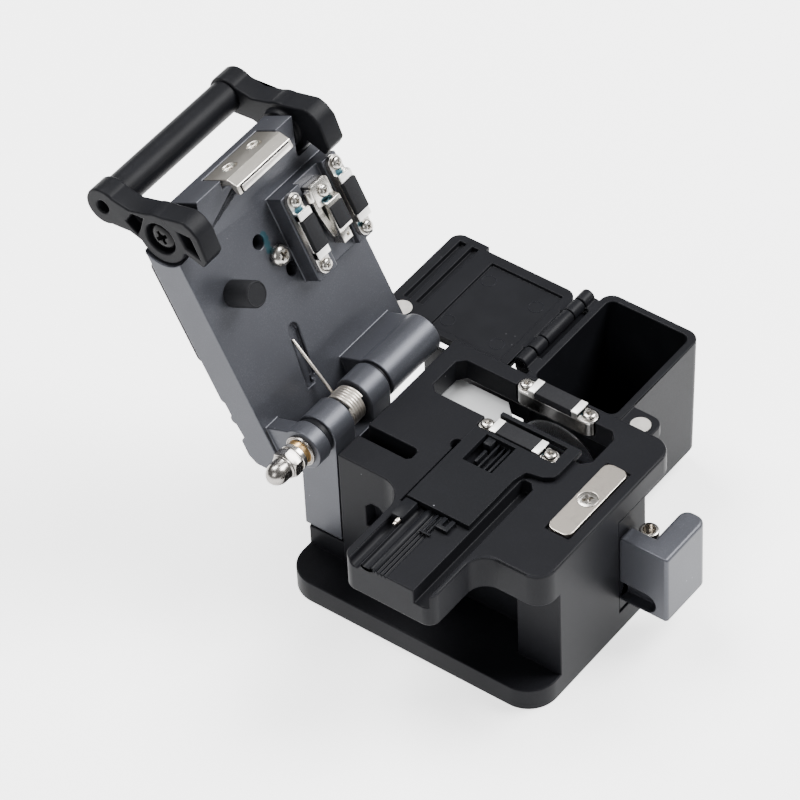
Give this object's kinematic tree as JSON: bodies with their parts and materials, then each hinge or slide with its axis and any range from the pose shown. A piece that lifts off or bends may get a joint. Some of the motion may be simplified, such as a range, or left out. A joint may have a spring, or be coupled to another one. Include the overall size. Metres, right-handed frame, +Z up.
{
  "type": "fibre cleaver",
  "caption": "Bench-top optical fibre cleaver with a sprung clamp lid and bail handle, a sliding round-blade carriage, fibre clamps, a grooved guide bed and a clip-on scrap bin with a flap.",
  "frame": {"origin": "centre of the base plate's flat underside", "axes": "+X towards the scrap bin, +Y from the front towards the lid's hinge, +Z up"},
  "size_m": [0.0948, 0.1249, 0.0891],
  "materials": {
    "black_anodised": "fine bead-blasted black anodising, satin",
    "grey_anodised": "fine bead-blasted grey anodising, satin",
    "guide_black": "black anodised plate, satin",
    "steel": "machined nickel-plated steel",
    "bright_screw": "bright nickel-plated screw",
    "polished_steel": "polished and ground",
    "spring_steel": "bright drawn wire",
    "brass": "turned brass",
    "rubber_pad": "black rubber, matt",
    "black_plastic": "moulded black plastic, fine texture",
    "black_screw": "blackened steel screw",
    "magnet": "nickel-plated magnet, dull",
    "bumper_black": "black stop, smooth"
  },
  "bodies": {
    "base": {"main_body": "black_anodised", "fibre_guide_plate": "guide_black", "guide_block": "guide_black", "guide_clip": "steel", "guide_pin": "steel", "near_lower_clamp": "steel", "near_lower_pad": "rubber_pad", "near_clamp_screws": "bright_screw", "far_lower_clamp": "steel", "far_lower_pad": "rubber_pad", "far_clamp_screws": "bright_screw", "strike_plate": "steel", "strike_screw": "bright_screw", "slide_rail": "black_anodised", "hinge_bracket": "grey_anodised", "hinge_pin": "polished_steel", "pin_washer": "brass", "hex_nut": "bright_screw", "acorn_nut": "bright_screw", "spacer_washers": "guide_black", "torsion_spring": "spring_steel", "scrap_bin": "black_plastic", "flap_hinge_pin": "steel", "bin_magnet": "magnet"},
    "lid": {"lid_arm": "grey_anodised", "lid_top_pad": "black_plastic", "magnet_yoke": "steel", "yoke_magnet": "magnet", "yoke_screws": "bright_screw", "bumper_pin": "bumper_black", "lid_screw": "bright_screw", "brass_bushes": "brass", "near_upper_clamp": "steel", "near_upper_pad": "rubber_pad", "near_upper_screws": "bright_screw", "far_upper_clamp": "steel", "far_upper_pad": "rubber_pad", "far_upper_screws": "bright_screw", "anvil": "steel", "anvil_pad": "rubber_pad", "handle_screws": "black_screw"},
    "handle": {"left_handle_arm": "black_plastic", "right_handle_arm": "black_plastic", "handle_bar": "black_plastic"},
    "carriage": {"carriage": "black_anodised", "carriage_plate": "polished_steel", "slider_knob": "grey_anodised", "roller_pin": "steel"},
    "roller": {"slider_roller": "steel"},
    "blade": {"cutting_blade": "polished_steel", "blade_hub": "steel", "blade_screw": "bright_screw"},
    "flap": {"bin_flap": "black_plastic", "flap_magnet": "magnet"}
  },
  "joints": [
    {"name": "lid_hinge", "type": "hinge", "parent": "base", "child": "lid", "pos_m": [0, 0.0289, 0.0394], "axis": [1, 0, 0], "range_deg": [0, 117], "stiffness_Nm_per_rad": 0.02, "deforming": ["torsion_spring"]},
    {"name": "handle_pivot", "type": "hinge", "parent": "lid", "child": "handle", "pos_m": [0.0029, 0.06169, 0.0815], "axis": [1, 0, 0], "range_deg": [0, 6]},
    {"name": "blade_slide", "type": "slide", "parent": "base", "child": "carriage", "axis": [0, 1, 0], "range_m": [0, 0.014]},
    {"name": "roller_spin", "type": "hinge", "parent": "carriage", "child": "roller", "pos_m": [0.0122, -0.0353, 0.02], "axis": [0, 0, 1], "continuous": true},
    {"name": "blade_index", "type": "hinge", "parent": "carriage", "child": "blade", "pos_m": [0.016, -0.0102, 0.0292], "axis": [1, 0, 0], "continuous": true},
    {"name": "bin_flap_hinge", "type": "hinge", "parent": "base", "child": "flap", "pos_m": [0.039, 0.0086, 0.036], "axis": [1, 0, 0], "range_deg": [0, 180]}
  ]
}
